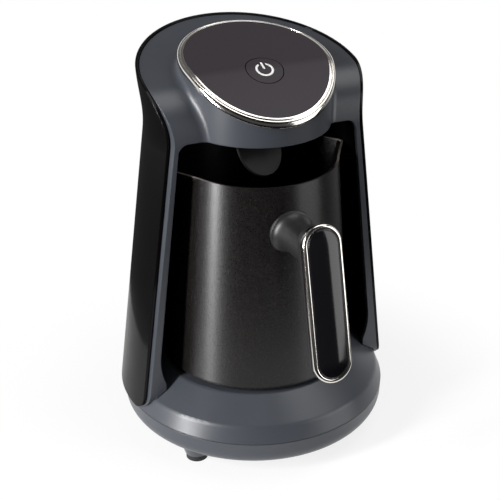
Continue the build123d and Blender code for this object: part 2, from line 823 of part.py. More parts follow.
with BuildPart() as buzzer:
    with BuildSketch(board_plane.offset(-board_thickness - 0.05)):
        with Locations((-8, 0)):
            Circle(buzzer_radius)
    extrude(amount=-buzzer_height)
buzzer.part.label = "buzzer"
export_step(buzzer.part, "parts/buzzer.step")

with BuildPart() as board_screws:
    with BuildSketch(board_plane.offset(-board_thickness - 0.05)):
        with Locations(*board_screw_places):
            Circle(2.2)
    extrude(amount=-1.6)
    with BuildSketch(board_plane.offset(-board_thickness - 0.05)):
        with Locations(*board_screw_places):
            Circle(1.0)
    extrude(amount=board_thickness + 0.2)
board_screws.part.label = "board_screws"
export_step(board_screws.part, "parts/board_screws.step")

with BuildPart() as head_screws:
    with Locations(*[(x, y, head_plate_z - 1.7) for x, y in post_places]):
        Cylinder(screw_head_radius, 1.6, align=(Align.CENTER, Align.CENTER, Align.MIN))
        Cylinder(screw_radius - 0.15, 10.0, align=(Align.CENTER, Align.CENTER, Align.MIN))
head_screws.part.label = "head_screws"
export_step(head_screws.part, "parts/head_screws.step")

# ---------------------------------------------------------------- pot
rim_end_z = pot_rim_z + spout_rise * (70 / spout_reach) ** 2
with BuildPart() as rim_cut:
    with BuildSketch(front_plane):
        with BuildLine():
            ThreePointArc((-70, rim_end_z), (0, pot_rim_z), (70, rim_end_z))
            Polyline((70, rim_end_z), (70, pot_rim_z + 30), (-70, pot_rim_z + 30), (-70, rim_end_z))
        make_face()
    extrude(amount=far, both=True)
boss_plane = Plane((0, pot_y, boss_z), x_dir=(1, 0, 0), z_dir=(0, -1, 0))
with BuildPart() as pot_body:
    add(pot_form(0, pot_bottom_z))
    fillet(pot_body.edges().group_by(Axis.Z)[0], pot_bottom_edge)
    with Locations(boss_plane.location):
        Cylinder(4.0, pot_radius(boss_z) + 6.0, align=(Align.CENTER, Align.CENTER, Align.MIN))
    add(pot_form(pot_wall, pot_bottom_z + pot_floor), mode=Mode.SUBTRACT)
    add(rim_cut.part, mode=Mode.SUBTRACT)
    with Locations(boss_plane.offset(pot_radius(boss_z) + 6.0).location * Rot(180, 0, 0)):
        Cylinder(1.6, 5.0, align=(Align.CENTER, Align.CENTER, Align.MIN), mode=Mode.SUBTRACT)
pot_body.part.label = "pot_body"
export_step(pot_body.part, "parts/pot_body.step")

# ---------------------------------------------------------------- pot handle
boss_start = pot_radius(boss_z) - 3.0
grip_back_y = grip_y + (boss_z - grip_z) * tan(radians(grip_lean)) + (trim_depth + grip_thickness) / cos(
    radians(grip_lean)
)
with BuildPart() as handle_boss:
    with BuildSketch(side_plane):
        with BuildLine():
            Polyline(
                (pot_y - boss_start, boss_z),
                (pot_y - boss_start, boss_z + boss_radius + 0.5),
                (pot_y - boss_start - 3.0, boss_z + boss_radius),
            )
            Spline(
                (pot_y - boss_start - 3.0, boss_z + boss_radius),
                (neck_y, boss_z + neck_radius),
                tangents=((-0.5, -1), (-1, -0.15)),
            )
            Polyline(
                (neck_y, boss_z + neck_radius),
                (grip_back_y - 3.0, boss_z + neck_radius - 0.4),
                (grip_back_y - 3.0, boss_z),
                (pot_y - boss_start, boss_z),
            )
        make_face()
    revolve(axis=Axis((0, 0, boss_z), (0, 1, 0)))
    add(pot_form(-0.1, pot_bottom_z), mode=Mode.SUBTRACT)
    with Locations(boss_plane.location):
        Cylinder(
            4.2,
            pot_radius(boss_z) + 6.3,
            align=(Align.CENTER, Align.CENTER, Align.MIN),
            mode=Mode.SUBTRACT,
        )
        Cylinder(1.8, 90.0, align=(Align.CENTER, Align.CENTER, Align.MIN), mode=Mode.SUBTRACT)
handle_boss.part.label = "handle_boss"

with BuildPart() as grip_form:
    with BuildSketch(grip_plane.offset(-trim_depth - grip_thickness)):
        SlotOverall(grip_length - 2.0, grip_width - 2.6, rotation=90)
    extrude(amount=grip_thickness)
    fillet(grip_form.faces().sort_by(Axis.Y)[-1].edges(), 3.4)
handle_boss.part = handle_boss.part - grip_form.part
handle_boss.part.label = "handle_boss"
export_step(handle_boss.part, "parts/handle_boss.step")

with BuildPart() as handle_grip:
    add(grip_form.part)
    with BuildSketch(grip_plane.offset(-trim_depth)):
        SlotOverall(grip_length - 12.0, grip_width - 12.0, rotation=90)
    extrude(amount=grip_floor - grip_thickness, mode=Mode.SUBTRACT)
    with Locations(boss_plane.location):
        Cylinder(1.8, 120.0, align=(Align.CENTER, Align.CENTER, Align.MIN), mode=Mode.SUBTRACT)
handle_grip.part.label = "handle_grip"
export_step(handle_grip.part, "parts/handle_grip.step")

with BuildPart() as handle_trim:
    with BuildSketch(grip_plane):
        SlotOverall(grip_length, grip_width, rotation=90)
    extrude(amount=-trim_depth + gap)
    fillet(handle_trim.faces().filter_by(GeomType.PLANE).sort_by(Axis.Y)[0].edges(), trim_edge_radius)
    with BuildSketch(grip_plane):
        SlotOverall(grip_length - 2 * trim_width, grip_width - 2 * trim_width, rotation=90)
    extrude(amount=-insert_depth - 0.1, mode=Mode.SUBTRACT)
    with BuildSketch(grip_plane):
        SlotOverall(grip_length - 2 * trim_width - 3.0, grip_width - 2 * trim_width - 3.0, rotation=90)
    extrude(amount=-trim_depth, mode=Mode.SUBTRACT)
handle_trim.part.label = "handle_trim"
export_step(handle_trim.part, "parts/handle_trim.step")

with BuildPart() as handle_insert:
    with BuildSketch(grip_plane.offset(insert_proud)):
        SlotOverall(
            grip_length - 2 * trim_width - 2 * insert_gap,
            grip_width - 2 * trim_width - 2 * insert_gap,
            rotation=90,
        )
    extrude(amount=-insert_depth - insert_proud)
    chamfer(handle_insert.faces().filter_by(GeomType.PLANE).sort_by(Axis.Y)[0].edges(), 0.4)
handle_insert.part.label = "handle_insert"
export_step(handle_insert.part, "parts/handle_insert.step")

grip_face_reach = pot_y - grip_y - (boss_z - grip_z) * tan(radians(grip_lean))
grip_floor_depth = trim_depth + grip_thickness - grip_floor
lean_slope = tan(radians(grip_lean))
screw_seat = grip_face_reach - grip_floor_depth / cos(radians(grip_lean)) + 3.0 * lean_slope + 0.1
with BuildPart() as handle_screw:
    with Locations(boss_plane.offset(pot_radius(boss_z) + 2.0).location):
        Cylinder(1.4, screw_seat - pot_radius(boss_z) - 2.0, align=(Align.CENTER, Align.CENTER, Align.MIN))
    with Locations(boss_plane.offset(screw_seat).location):
        Cylinder(3.0, 2.2, align=(Align.CENTER, Align.CENTER, Align.MIN))
handle_screw.part.label = "handle_screw"
export_step(handle_screw.part, "parts/handle_screw.step")

# ---------------------------------------------------------------- base cover
with BuildPart() as cover_bosses:
    with Locations(*[(x, y, tray_floor_z + gap) for x, y in foot_places]):
        Cylinder(boss_post_radius, cover_top_height, align=(Align.CENTER, Align.CENTER, Align.MIN))
    add(cover_form(-0.6), mode=Mode.INTERSECT)
with BuildPart() as base_cover:
    add(cover_form(0))
    with BuildSketch(front_plane):
        with BuildLine():
            Polyline(
                (0, seam_height),
                (base_radius - base_wall, seam_height),
                (crease_radius - base_wall, crease_height - 1.4),
                (cover_top_radius - 1.0, cover_top_height - base_wall),
                (0, cover_top_height - base_wall),
                close=True,
            )
        make_face()
    revolve(axis=Axis.Z, mode=Mode.SUBTRACT)
    with Locations((0, 0, cover_top_height - base_wall - 1)):
        Cylinder(
            plate_radius + plate_gap,
            base_wall + 2,
            align=(Align.CENTER, Align.CENTER, Align.MIN),
            mode=Mode.SUBTRACT,
        )
    add(cover_bosses.part)
    with Locations(*[(x, y, tray_floor_z) for x, y in foot_places]):
        Cylinder(screw_radius, 14.0, align=(Align.CENTER, Align.CENTER, Align.MIN), mode=Mode.SUBTRACT)
    with Locations((harness_x, harness_low_y, crease_height)):
        Cylinder(harness_slot, cover_top_height, mode=Mode.SUBTRACT)
base_cover.part.label = "base_cover"
export_step(base_cover.part, "parts/base_cover.step")

with BuildPart() as base_screws:
    with Locations(*[(x, y, tray_floor_z - base_wall - 0.2) for x, y in foot_places]):
        Cylinder(screw_head_radius, 2.0, align=(Align.CENTER, Align.CENTER, Align.MAX))
        Cylinder(screw_radius - 0.15, 13.0, align=(Align.CENTER, Align.CENTER, Align.MIN))
base_screws.part.label = "base_screws"
export_step(base_screws.part, "parts/base_screws.step")

# ---------------------------------------------------------------- hot plate and heater
with BuildPart() as hot_plate:
    with Locations((0, 0, plate_bottom_z)):
        Cylinder(plate_radius, plate_thickness, align=(Align.CENTER, Align.CENTER, Align.MIN))
    chamfer(hot_plate.edges().group_by(Axis.Z)[-1], 0.8)
    with Locations((0, 0, cover_top_height - base_wall - gap)):
        Cylinder(plate_flange_radius, plate_flange_thickness, align=(Align.CENTER, Align.CENTER, Align.MAX))
hot_plate.part.label = "hot_plate"
export_step(hot_plate.part, "parts/hot_plate.step")

element_z = plate_bottom_z - 0.1
element_ends = [-90 + element_open_angle / 2, -90 - element_open_angle / 2]
with BuildPart() as heating_element:
    with BuildSketch(Plane(origin=(0, 0, element_z - element_height / 2), x_dir=(1, 0, 0), z_dir=(0, -1, 0))):
        with Locations((element_ring_radius, 0)):
            Rectangle(element_width, element_height)
        chamfer(vertices(), element_height * 0.25)
    revolve(axis=Axis.Z, revolution_arc=360 - element_open_angle)
element_turn = Rot(0, 0, element_ends[0])
heating_element.part = element_turn * heating_element.part
with BuildPart() as element_terminals:
    with Locations(*[
        (element_ring_radius * cos(radians(end)), element_ring_radius * sin(radians(end)), element_z - 1)
        for end in (element_ends[0] + 4, element_ends[1] - 4)
    ]):
        Cylinder(1.2, element_height - 1 + terminal_length, align=(Align.CENTER, Align.CENTER, Align.MAX))
heating_element.part = heating_element.part + element_terminals.part
heating_element.part.label = "heating_element"
export_step(heating_element.part, "parts/heating_element.step")

shield_z = element_z - element_height - 4.8
shield_top = cover_top_height - base_wall - gap
with BuildPart() as heat_shield:
    with BuildSketch(front_plane):
        with BuildLine():
            Polyline(
                (0, shield_z),
                (shield_radius, shield_z),
                (shield_radius, shield_top),
                (shield_radius - 0.8, shield_top),
                (shield_radius - 0.8, shield_z + 0.8),
                (0, shield_z + 0.8),
                close=True,
            )
        make_face()
    revolve(axis=Axis.Z)
    with BuildSketch(Plane.XY.offset(shield_z)):
        with Locations(*[
            (element_ring_radius * cos(radians(end)), element_ring_radius * sin(radians(end)))
            for end in (element_ends[0] + 4, element_ends[1] - 4)
        ]):
            Circle(2.4)
        Circle(thermostat_radius + 1.5)
    extrude(amount=0.8, mode=Mode.SUBTRACT)
heat_shield.part.label = "heat_shield"
export_step(heat_shield.part, "parts/heat_shield.step")

with BuildPart() as thermostat:
    with Locations((0, 0, plate_bottom_z - 0.1)):
        Cylinder(thermostat_radius, 5.0, align=(Align.CENTER, Align.CENTER, Align.MAX))
        Cylinder(thermostat_radius - 2.0, thermostat_height, align=(Align.CENTER, Align.CENTER, Align.MAX))
    with BuildSketch(Plane.XY.offset(plate_bottom_z - 0.1 - thermostat_height)):
        with Locations((-4.0, 0), (4.0, 0)):
            Rectangle(0.8, 6.0)
    extrude(amount=-5.0)
thermostat.part.label = "thermostat"
export_step(thermostat.part, "parts/thermostat.step")

with BuildPart() as thermostat_bracket:
    with BuildSketch(Plane.XY.offset(plate_bottom_z - 0.1)):
        SlotOverall(leaf_length, leaf_width)
        Circle(thermostat_radius + 0.3, mode=Mode.SUBTRACT)
    extrude(amount=-leaf_thickness)
    with BuildSketch(Plane.XY.offset(plate_bottom_z - 0.1)):
        with GridLocations(2 * thermostat_radius + 4, 1, 2, 1):
            Rectangle(leaf_thickness, leaf_width)
    extrude(amount=-4.0)
thermostat_bracket.part.label = "thermostat_bracket"
export_step(thermostat_bracket.part, "parts/thermostat_bracket.step")

with BuildPart() as thermal_fuse:
    with Locations(Location((0, fuse_y, plate_bottom_z - fuse_radius - 0.2), (0, 90, 0))):
        Cylinder(fuse_radius, fuse_length)
        Box(0.8, 0.8, fuse_length + 10)
thermal_fuse.part.label = "thermal_fuse"
export_step(thermal_fuse.part, "parts/thermal_fuse.step")

# ---------------------------------------------------------------- electrics in the base
with BuildPart() as power_board:
    with BuildSketch(Plane.XY.offset(board_z)):
        Rectangle(board_x, board_y)
    extrude(amount=board_thickness)
power_board.part.label = "power_board"
export_step(power_board.part, "parts/power_board.step")

board_top_z = board_z + board_thickness + 0.1
parts_height = shield_z - board_top_z - parts_room
with BuildPart() as relay:
    with Locations((relay_x, relay_y, board_top_z)):
        Box(relay_width, relay_length, parts_height, align=(Align.CENTER, Align.CENTER, Align.MIN))
    chamfer(relay.edges().group_by(Axis.Z)[-1], 0.6)
relay.part.label = "relay"
export_step(relay.part, "parts/relay.step")

with BuildPart() as capacitor:
    with Locations((capacitor_x, capacitor_y, board_top_z)):
        Cylinder(capacitor_radius, parts_height, align=(Align.CENTER, Align.CENTER, Align.MIN))
capacitor.part.label = "capacitor"
export_step(capacitor.part, "parts/capacitor.step")

with BuildPart() as terminal_block:
    with Locations((block_x, block_y, tray_floor_z + 0.1)):
        Box(block_width, block_length, block_height, align=(Align.CENTER, Align.CENTER, Align.MIN))
    with BuildSketch(Plane.XY.offset(tray_floor_z + 0.1 + block_height)):
        with Locations(*[(block_x + place * block_pitch, block_y) for place in (-1, 0, 1)]):
            Rectangle(block_pitch * 0.5, block_length * 0.5)
    extrude(amount=-block_height * 0.4, mode=Mode.SUBTRACT)
terminal_block.part.label = "terminal_block"
export_step(terminal_block.part, "parts/terminal_block.step")

gland_plane = Plane((0, gland_inner_y, gland_z), x_dir=(1, 0, 0), z_dir=(0, 1, 0))
with BuildPart() as cord_gland:
    with Locations(gland_plane.location):
        Cylinder(gland_radius - 1.3, gland_length, align=(Align.CENTER, Align.CENTER, Align.MIN))
    with Locations(gland_plane.offset(gland_length - 2.0).location):
        Cylinder(gland_radius, 2.0, align=(Align.CENTER, Align.CENTER, Align.MIN))
    with Locations(gland_plane.location):
        Cylinder(gland_radius - 0.6, 1.5, align=(Align.CENTER, Align.CENTER, Align.MIN))
        Cylinder(gland_bore, gland_length, align=(Align.CENTER, Align.CENTER, Align.MIN), mode=Mode.SUBTRACT)
cord_gland.part.label = "cord_gland"
export_step(cord_gland.part, "parts/cord_gland.step")

with BuildPart() as wire_harness:
    with BuildLine(Plane.YZ.offset(harness_x)):
        harness_line = FilletPolyline(
            (harness_start_y, board_top_z + 3.0),
            (harness_low_y, board_top_z + 3.0),
            (harness_low_y, harness_bend_z),
            (harness_high_y, bay_top_z - 10),
            (harness_high_y, harness_top_z),
            (harness_end_y, harness_top_z),
            radius=7.0,
        )
    with BuildSketch(Plane(origin=harness_line @ 0, x_dir=(1, 0, 0), z_dir=harness_line % 0)):
        Rectangle(harness_width, harness_thickness)
    sweep(path=harness_line)
    with Locations((harness_x, harness_start_y, board_top_z)):
        Box(9, 7, 6, align=(Align.CENTER, Align.CENTER, Align.MIN))
    with BuildSketch(board_plane.offset(-board_thickness - 0.05)):
        with Locations((harness_x - 2, 1)):
            Rectangle(6, 6)
    extrude(amount=-5.0)
wire_harness.part.label = "wire_harness"
export_step(wire_harness.part, "parts/wire_harness.step")
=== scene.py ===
# %% [markdown]
# # A small coffee maker, dressed in its real finishes
# The solids of the machine come in as a fixed frame, in metres, with Z up and
# the pot's handle along -Y. This lesson leaves them where they are. It gives
# each one the finish of the real material, and models again, with finer
# surfaces, the few pieces whose gloss would show the facets of a plain solid.

# %% Load the frame
import math
import bmesh
import bpy
from mathutils import Matrix, Vector


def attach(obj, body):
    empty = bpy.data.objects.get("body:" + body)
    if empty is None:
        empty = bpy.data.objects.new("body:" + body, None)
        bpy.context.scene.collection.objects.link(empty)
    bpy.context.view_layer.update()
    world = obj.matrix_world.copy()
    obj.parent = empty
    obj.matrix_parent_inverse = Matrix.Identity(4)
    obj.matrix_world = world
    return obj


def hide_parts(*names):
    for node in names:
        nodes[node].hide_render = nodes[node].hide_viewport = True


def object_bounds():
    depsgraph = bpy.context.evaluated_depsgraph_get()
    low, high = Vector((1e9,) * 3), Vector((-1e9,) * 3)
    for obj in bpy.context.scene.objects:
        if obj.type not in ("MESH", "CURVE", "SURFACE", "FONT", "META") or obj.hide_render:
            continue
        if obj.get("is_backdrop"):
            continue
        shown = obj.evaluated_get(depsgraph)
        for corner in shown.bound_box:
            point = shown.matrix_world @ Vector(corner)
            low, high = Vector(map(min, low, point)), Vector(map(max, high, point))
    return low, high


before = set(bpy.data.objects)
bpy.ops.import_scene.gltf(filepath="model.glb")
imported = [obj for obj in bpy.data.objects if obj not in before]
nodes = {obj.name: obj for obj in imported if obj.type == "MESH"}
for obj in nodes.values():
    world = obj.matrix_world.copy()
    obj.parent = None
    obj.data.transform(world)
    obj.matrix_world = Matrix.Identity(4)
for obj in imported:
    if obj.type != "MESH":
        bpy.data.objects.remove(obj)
cad_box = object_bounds()

# %% [markdown]
# ## Millimetres and the camera
# Every size below is a real size in millimetres, so one constant turns it to
# metres. The camera stands in front and a little to the left, above the
# machine, with a short telephoto lens, as a product picture is taken.

# %% Units
MM = 0.001
scene = bpy.context.scene


def report(title, *values):
    print(title, *[round(v, 4) if isinstance(v, float) else v for v in values])


report("height of the machine in mm", (cad_box[1][2] - cad_box[0][2]) / MM)

# %% Camera
turn = math.radians(-23.164)
lift = math.radians(26.685)
toward_camera = Vector((
    math.sin(turn) * math.cos(lift),
    -math.cos(turn) * math.cos(lift),
    math.sin(lift),
))
target = Vector((-1.945, 0.0, 103.698)) * MM
camera_distance_mm = 626.7
camera_data = bpy.data.cameras.new("camera")
camera_data.lens = 79.2
camera_data.sensor_width = 36.0
camera_data.clip_start = 0.01
camera_data.clip_end = 20.0
camera = bpy.data.objects.new("camera", camera_data)
scene.collection.objects.link(camera)
camera.matrix_world = (
    Matrix.Translation(target + toward_camera * camera_distance_mm * MM)
    @ toward_camera.to_track_quat("Z", "Y").to_matrix().to_4x4()
)
scene.camera = camera
report("camera at", *camera.matrix_world.translation)

# %% [markdown]
# ## Colours and shader nodes
# Colours are written as hex values, as a paint chart gives them. A shader works
# in linear light, so one function turns each value to linear. A second small
# function adds any shader node with its settings and links.

# %% Colour helper
def linear(code, alpha=1.0):
    """An sRGB hex colour as linear RGBA."""
    channels = [int(code[i:i + 2], 16) / 255 for i in (1, 3, 5)]
    lin = [c / 12.92 if c <= 0.04045 else ((c + 0.055) / 1.055) ** 2.4 for c in channels]
    return (*lin, alpha)


report("mid grey", *linear("#808080"))


# %% Node helper
def add_node(tree, kind, inputs=None, **settings):
    """Adds a shader node; an input is a value, or another node's socket."""
    node = tree.nodes.new(kind)
    for name, value in settings.items():
        setattr(node, name, value)
    for socket, value in (inputs or {}).items():
        if isinstance(value, bpy.types.NodeSocket):
            tree.links.new(value, node.inputs[socket])
        else:
            node.inputs[socket].default_value = value
    return node


def start_material(name, inputs):
    """A new material with one Principled shader, and its node tree."""
    material = bpy.data.materials.new(name)
    material.use_nodes = True
    tree = material.node_tree
    tree.nodes.clear()
    shader = add_node(tree, "ShaderNodeBsdfPrincipled", inputs)
    add_node(tree, "ShaderNodeOutputMaterial", {"Surface": shader.outputs["BSDF"]})
    return material, tree, shader


def per_mm(size):
    """Scale of a pattern whose features are this many millimetres across."""
    return 1.0 / (size * MM)


report("scale of a 0.5 mm grain", per_mm(0.5))

# %% [markdown]
# ## Graphite plastic
# The base, the deck and the head are ABS, injection moulded in a mould that was
# spark eroded to a fine grain. The eye sees a bluish dark grey with a broad
# soft highlight and no mirror image. Two noises do it: the grain, which is bump,
# and a slow drift in the gloss. A real grain of this kind is taken as about
# 0.1 mm, too fine to show, so it is drawn at 0.6 mm. A small bevel in the shader
# softens the edges that the solids leave sharp.

# %% Graphite ABS
def grained_plastic(name, colour, rough, grain_mm, grain_depth_mm):
    """Moulded plastic with a fine grain, and a gloss that drifts slowly."""
    drift = 0.06
    material, tree, shader = start_material(name, {"Base Color": linear(colour), "IOR": 1.5})
    place = add_node(tree, "ShaderNodeTexCoord")
    grain = add_node(tree, "ShaderNodeTexNoise", {
        "Vector": place.outputs["Object"], "Scale": per_mm(grain_mm), "Detail": 3.0, "Roughness": 0.6})
    slow = add_node(tree, "ShaderNodeTexNoise", {
        "Vector": place.outputs["Object"], "Scale": per_mm(22.0), "Detail": 2.0})
    gloss = add_node(tree, "ShaderNodeMapRange", {
        "Value": slow.outputs["Fac"], "From Min": 0.3, "From Max": 0.7,
        "To Min": rough - drift / 2, "To Max": rough + drift / 2})
    soft_edge = add_node(tree, "ShaderNodeBevel", {"Radius": 0.7 * MM}, samples=4)
    bump = add_node(tree, "ShaderNodeBump", {
        "Height": grain.outputs["Fac"], "Distance": grain_depth_mm * MM, "Strength": 1.0,
        "Normal": soft_edge.outputs["Normal"]})
    tree.links.new(gloss.outputs["Result"], shader.inputs["Roughness"])
    tree.links.new(bump.outputs["Normal"], shader.inputs["Normal"])
    return material


graphite_abs = grained_plastic("graphite ABS, spark-eroded mould", "#393C42", 0.36, 0.6, 0.012)
black_abs = grained_plastic("black ABS, fine matt mould", "#1B1A1B", 0.42, 0.6, 0.01)
board_laminate = grained_plastic("green epoxy glass laminate, soldered", "#1F5C3A", 0.35, 1.2, 0.02)
white_abs = grained_plastic("white ABS, satin mould", "#E6E6E4", 0.4, 0.6, 0.008)
print("made", graphite_abs.name)

# %% [markdown]
# ## Gloss black plastic
# The wrap-around shell and the lining of the bay are taken as ABS from a polished
# mould, and the inlay of the handle as acrylic. The eye sees deep black with
# clear reflections, and close up a very faint waviness of about 9 mm, as moulded
# walls often have. A coat carries the mirror. Its weight is low on the shell and
# the lining, so that they stay black in a white studio, and full on the inlay.

# %% Gloss black ABS
def polished_plastic(name, colour, rough, wave_depth_mm, skin=0.25):
    """Plastic from a polished mould: a glossy skin, fine as a film, with a faint waviness."""
    wave_mm = 9.0
    material, tree, shader = start_material(name, {
        "Base Color": linear(colour), "IOR": 1.5, "Specular IOR Level": 0.02,
        "Coat Weight": skin, "Coat Roughness": rough, "Coat IOR": 1.5})
    place = add_node(tree, "ShaderNodeTexCoord")
    wave = add_node(tree, "ShaderNodeTexNoise", {
        "Vector": place.outputs["Object"], "Scale": per_mm(wave_mm), "Detail": 1.0})
    smear = add_node(tree, "ShaderNodeTexNoise", {
        "Vector": place.outputs["Object"], "Scale": per_mm(30.0), "Detail": 4.0})
    gloss = add_node(tree, "ShaderNodeMapRange", {
        "Value": smear.outputs["Fac"], "From Min": 0.35, "From Max": 0.65,
        "To Min": 0.3, "To Max": 0.4})
    soft_edge = add_node(tree, "ShaderNodeBevel", {"Radius": 0.9 * MM}, samples=4)
    bump = add_node(tree, "ShaderNodeBump", {
        "Height": wave.outputs["Fac"], "Distance": wave_depth_mm * MM, "Strength": 1.0,
        "Normal": soft_edge.outputs["Normal"]})
    tree.links.new(gloss.outputs["Result"], shader.inputs["Roughness"])
    tree.links.new(bump.outputs["Normal"], shader.inputs["Normal"])
    tree.links.new(bump.outputs["Normal"], shader.inputs["Coat Normal"])
    return material


gloss_black = polished_plastic("gloss black ABS, polished mould", "#0B0A0B", 0.09, 0.02)
lining_black = polished_plastic("black ABS lining, polished mould", "#060606", 0.16, 0.02, skin=0.12)
insert_black = polished_plastic("gloss black PMMA inlay, polished", "#0C0B0E", 0.1, 0.01, skin=1.0)
print("made", gloss_black.name)

# %% [markdown]
# ## Smoked plates
# The control panel is a plate of smoked acrylic over a dark print. The eye sees
# a warm dark grey that is a little lighter where it leans to the light, with a
# satin skin that mirrors nothing sharply. So it has a weak mirror and a high
# roughness, which changes from one print dot to the next. The sensor's window is
# a smoother moulding of smoked polycarbonate, almost black.

# %% Smoked plates
def smoked_plate(name, colour, ior, mirror, haze_mm, haze_detail, rough, spread):
    """Smoked plastic whose roughness varies a little with a fine haze."""
    material, tree, shader = start_material(name, {
        "Base Color": linear(colour), "IOR": ior, "Specular IOR Level": mirror})
    place = add_node(tree, "ShaderNodeTexCoord")
    haze = add_node(tree, "ShaderNodeTexNoise", {
        "Vector": place.outputs["Object"], "Scale": per_mm(haze_mm), "Detail": haze_detail})
    gloss = add_node(tree, "ShaderNodeMapRange", {
        "Value": haze.outputs["Fac"], "From Min": 0.3, "From Max": 0.7,
        "To Min": rough - spread, "To Max": rough + spread})
    tree.links.new(gloss.outputs["Result"], shader.inputs["Roughness"])
    return material


panel_acrylic = smoked_plate("smoked acrylic, back printed", "#2C262B", 1.49, 0.3, 0.7, 2.0, 0.5, 0.04)
window_acrylic = smoked_plate(
    "smoked polycarbonate, moulded", "#131211", 1.58, 0.2, 4.0, 3.0, 0.34, 0.06)
print("made", panel_acrylic.name, "and", window_acrylic.name)

# %% [markdown]
# ## Non-stick coat
# The pot is taken as pressed aluminium, sprayed with a dark non-stick coat. The
# eye sees a brown black with fine glitter, and each highlight is a soft grainy band.
# Each band is much taller than it is wide, as fine marks that run round the wall
# would make it: an anisotropic shader, a quarter turn from the tangent that runs
# round the upright axis. The glitter is taken as flakes about 0.05 mm across;
# they are drawn at 0.5 mm, so that the band looks grainy from a normal distance.
# A fine pale line along the rim is a painted highlight on the rim's edge.

# %% Sprayed non-stick coat
def sprayed_coat(name, colour, fleck, rough, rim_highlight_colour, rim_mm):
    """A sprayed coat with flakes, drawn-out highlights and a painted highlight on the rim."""
    material, tree, shader = start_material(name, {
        "IOR": 1.5, "Specular IOR Level": 0.62, "Anisotropic": 0.8, "Anisotropic Rotation": 0.25})
    around = add_node(tree, "ShaderNodeTangent", direction_type="RADIAL", axis="Z")
    tree.links.new(around.outputs["Tangent"], shader.inputs["Tangent"])
    place = add_node(tree, "ShaderNodeTexCoord")
    flakes = add_node(tree, "ShaderNodeTexNoise", {
        "Vector": place.outputs["Object"], "Scale": per_mm(0.5), "Detail": 2.0, "Roughness": 0.7})
    spots = add_node(tree, "ShaderNodeValToRGB", {"Fac": flakes.outputs["Fac"]})
    spots.color_ramp.elements[0].position = 0.56
    spots.color_ramp.elements[0].color = linear(colour)
    spots.color_ramp.elements[1].position = 0.72
    spots.color_ramp.elements[1].color = linear(fleck)
    gloss = add_node(tree, "ShaderNodeMapRange", {
        "Value": flakes.outputs["Fac"], "From Min": 0.35, "From Max": 0.65,
        "To Min": rough - 0.06, "To Max": rough + 0.08})
    bump = add_node(tree, "ShaderNodeBump", {
        "Height": flakes.outputs["Fac"], "Distance": 0.02 * MM, "Strength": 1.0})
    place_z = add_node(tree, "ShaderNodeSeparateXYZ", {"Vector": place.outputs["Object"]})
    # A band just under the rim gets a pale colour: a painted highlight along the rim's edge.
    rim_highlight_band = add_node(tree, "ShaderNodeMapRange", {
        "Value": place_z.outputs["Z"],
        "From Min": (rim_mm - 0.9) * MM, "From Max": (rim_mm - 0.2) * MM})
    rim_highlight_paint = add_node(tree, "ShaderNodeMix", {
        "Factor": rim_highlight_band.outputs["Result"], "A": spots.outputs["Color"],
        "B": linear(rim_highlight_colour)}, data_type="RGBA")
    tree.links.new(rim_highlight_paint.outputs["Result"], shader.inputs["Base Color"])
    tree.links.new(gloss.outputs["Result"], shader.inputs["Roughness"])
    tree.links.new(bump.outputs["Normal"], shader.inputs["Normal"])
    return material


pot_coat = sprayed_coat("dark non-stick coat, sprayed", "#080606", "#352F2E", 0.33, "#9A908B", 163.9)
print("made", pot_coat.name)

# %% [markdown]
# ## Metals
# The ring and the handle's frame are chrome-plated ABS: a warm mirror. The hot
# plate is turned aluminium, so its roughness runs in rings. Screws and brackets
# are zinc-plated steel. A metal takes its look from its colour and roughness,
# and its IOR stays at the default.

# %% Chrome, aluminium and steel
def plated_metal(name, colour, rough, smear_mm):
    """Bright metal whose polish varies a little from place to place."""
    material, tree, shader = start_material(name, {"Base Color": linear(colour), "Metallic": 1.0})
    place = add_node(tree, "ShaderNodeTexCoord")
    smear = add_node(tree, "ShaderNodeTexNoise", {
        "Vector": place.outputs["Object"], "Scale": per_mm(smear_mm), "Detail": 3.0})
    gloss = add_node(tree, "ShaderNodeMapRange", {
        "Value": smear.outputs["Fac"], "From Min": 0.35, "From Max": 0.65,
        "To Min": rough * 0.7, "To Max": rough * 1.4})
    tree.links.new(gloss.outputs["Result"], shader.inputs["Roughness"])
    return material


def turned_metal(name, colour, rough, radian_mm):
    """Metal turned on a lathe: soft rings about the upright axis."""
    wave_gain = 20.0  # the wave texture multiplies its distance by this before it takes the sine
    print("rings in mm", round(math.tau * radian_mm, 2))
    material, tree, shader = start_material(name, {"Base Color": linear(colour), "Metallic": 1.0})
    place = add_node(tree, "ShaderNodeTexCoord")
    rings = add_node(tree, "ShaderNodeTexWave", {
        "Vector": place.outputs["Object"], "Scale": per_mm(radian_mm) / wave_gain,
        "Distortion": 0.4, "Detail": 2.0},
        wave_type="RINGS", rings_direction="Z")
    gloss = add_node(tree, "ShaderNodeMapRange", {
        "Value": rings.outputs["Fac"], "To Min": rough - 0.08, "To Max": rough + 0.08})
    bump = add_node(tree, "ShaderNodeBump", {
        "Height": rings.outputs["Fac"], "Distance": 0.01 * MM, "Strength": 0.6})
    tree.links.new(gloss.outputs["Result"], shader.inputs["Roughness"])
    tree.links.new(bump.outputs["Normal"], shader.inputs["Normal"])
    return material


chrome = plated_metal("chrome plate on ABS, polished", "#E9E4DE", 0.13, 14.0)
zinc_steel = plated_metal("zinc-plated steel, pressed", "#B9BABC", 0.32, 3.0)
plate_metal = turned_metal("aluminium hot plate, turned and blasted", "#8C8C8E", 0.45, 0.8)
print("made", chrome.name, "and", plate_metal.name)

# %% [markdown]
# ## Rubber
# Feet and the cord gland are moulded rubber: almost black, with hardly any
# highlight and a dusty, fine-pored skin.

# %% Rubber
foot_rubber = grained_plastic("black rubber, compression moulded", "#161616", 0.72, 0.8, 0.03)
print("made", foot_rubber.name)

# %% [markdown]
# ## One finish for each solid
# Each solid of the frame gets the finish of its real material. Inner pieces get
# theirs too, because the base can be turned over and the bay looked into.

